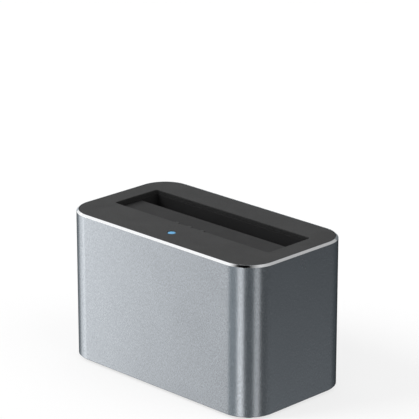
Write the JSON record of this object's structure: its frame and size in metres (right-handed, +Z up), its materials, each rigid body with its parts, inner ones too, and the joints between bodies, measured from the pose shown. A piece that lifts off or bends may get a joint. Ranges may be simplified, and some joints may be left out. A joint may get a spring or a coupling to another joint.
{
  "type": "hard drive docking station",
  "caption": "Single-bay desktop dock: aluminium sleeve with rounded corners and a bright top edge, slotted plastic cover, sprung flap over an upright drive connector, rear inlets.",
  "frame": {"origin": "on the table, under the middle of the dock: centre of the box that holds it, at the feet's underside", "axes": "+X along the dock's length to the right as seen from the front, +Y to the rear, where the inlets are, +Z up out of the slot"},
  "size_m": [0.128, 0.0717, 0.0778],
  "materials": {
    "anodised_grey": "bead blasted and grey anodised, bright-cut chamfer on the top edge",
    "charcoal_plastic": "fine spark-eroded texture",
    "black_plastic": "fine moulded texture",
    "button_plastic": "satin moulded",
    "rubber": "matte moulded rubber",
    "zinc_steel": "zinc plated",
    "bright_steel": "drawn and nickel plated",
    "light_blue": "frosted clear window, lit blue from below",
    "led_white": "moulded lamp body",
    "board_green": "green solder mask on glass fibre",
    "connector_black": "glass filled, matte",
    "contact_gold": "gold flashed",
    "usb_blue": "blue insulator",
    "plunger_ivory": "natural moulding",
    "chip_black": "moulded epoxy",
    "lead_tin": "tinned",
    "ferrite": "pressed ferrite, matte",
    "can_aluminium": "drawn can",
    "chip_ceramic": "fired ceramic"
  },
  "bodies": {
    "housing": {"sleeve": "anodised_grey", "top_cover": "charcoal_plastic", "base_plate": "black_plastic", "rubber_feet": "rubber", "base_screws": "zinc_steel", "drive_cradle": "black_plastic", "cradle_screws": "zinc_steel", "flap_pin": "bright_steel", "flap_springs": "bright_steel", "light_pipe": "light_blue", "status_led": "led_white", "main_board": "board_green", "board_screws": "zinc_steel", "sata_receptacle": "connector_black", "sata_data_contacts": "contact_gold", "sata_power_contacts": "contact_gold", "usb_shell": "bright_steel", "usb_insert": "usb_blue", "usb_contacts": "contact_gold", "dc_jack": "connector_black", "dc_jack_pin": "bright_steel", "dc_jack_spring": "bright_steel", "power_switch": "connector_black", "switch_spring": "bright_steel", "bridge_chip": "chip_black", "memory_chip": "chip_black", "regulator_chips": "chip_black", "chip_leads": "lead_tin", "power_inductors": "ferrite", "filter_capacitors": "can_aluminium", "crystal": "lead_tin", "chip_passives": "chip_ceramic"},
    "flap": {"dust_flap": "black_plastic"},
    "button": {"power_button": "button_plastic", "switch_plunger": "plunger_ivory"}
  },
  "joints": [
    {"name": "flap_hinge", "type": "hinge", "parent": "housing", "child": "flap", "pos_m": [0, -0.0134, 0.0727], "axis": [-1, 0, 0], "range_deg": [0, 88], "stiffness_Nm_per_rad": 0.006, "springref_deg": -28.65, "deforming": ["flap_springs"]},
    {"name": "button_push", "type": "slide", "parent": "housing", "child": "button", "axis": [0, -1, 0], "range_m": [0, 0.0012], "stiffness_N_per_m": 900, "springref_m": -0.0008, "deforming": ["switch_spring"]}
  ]
}
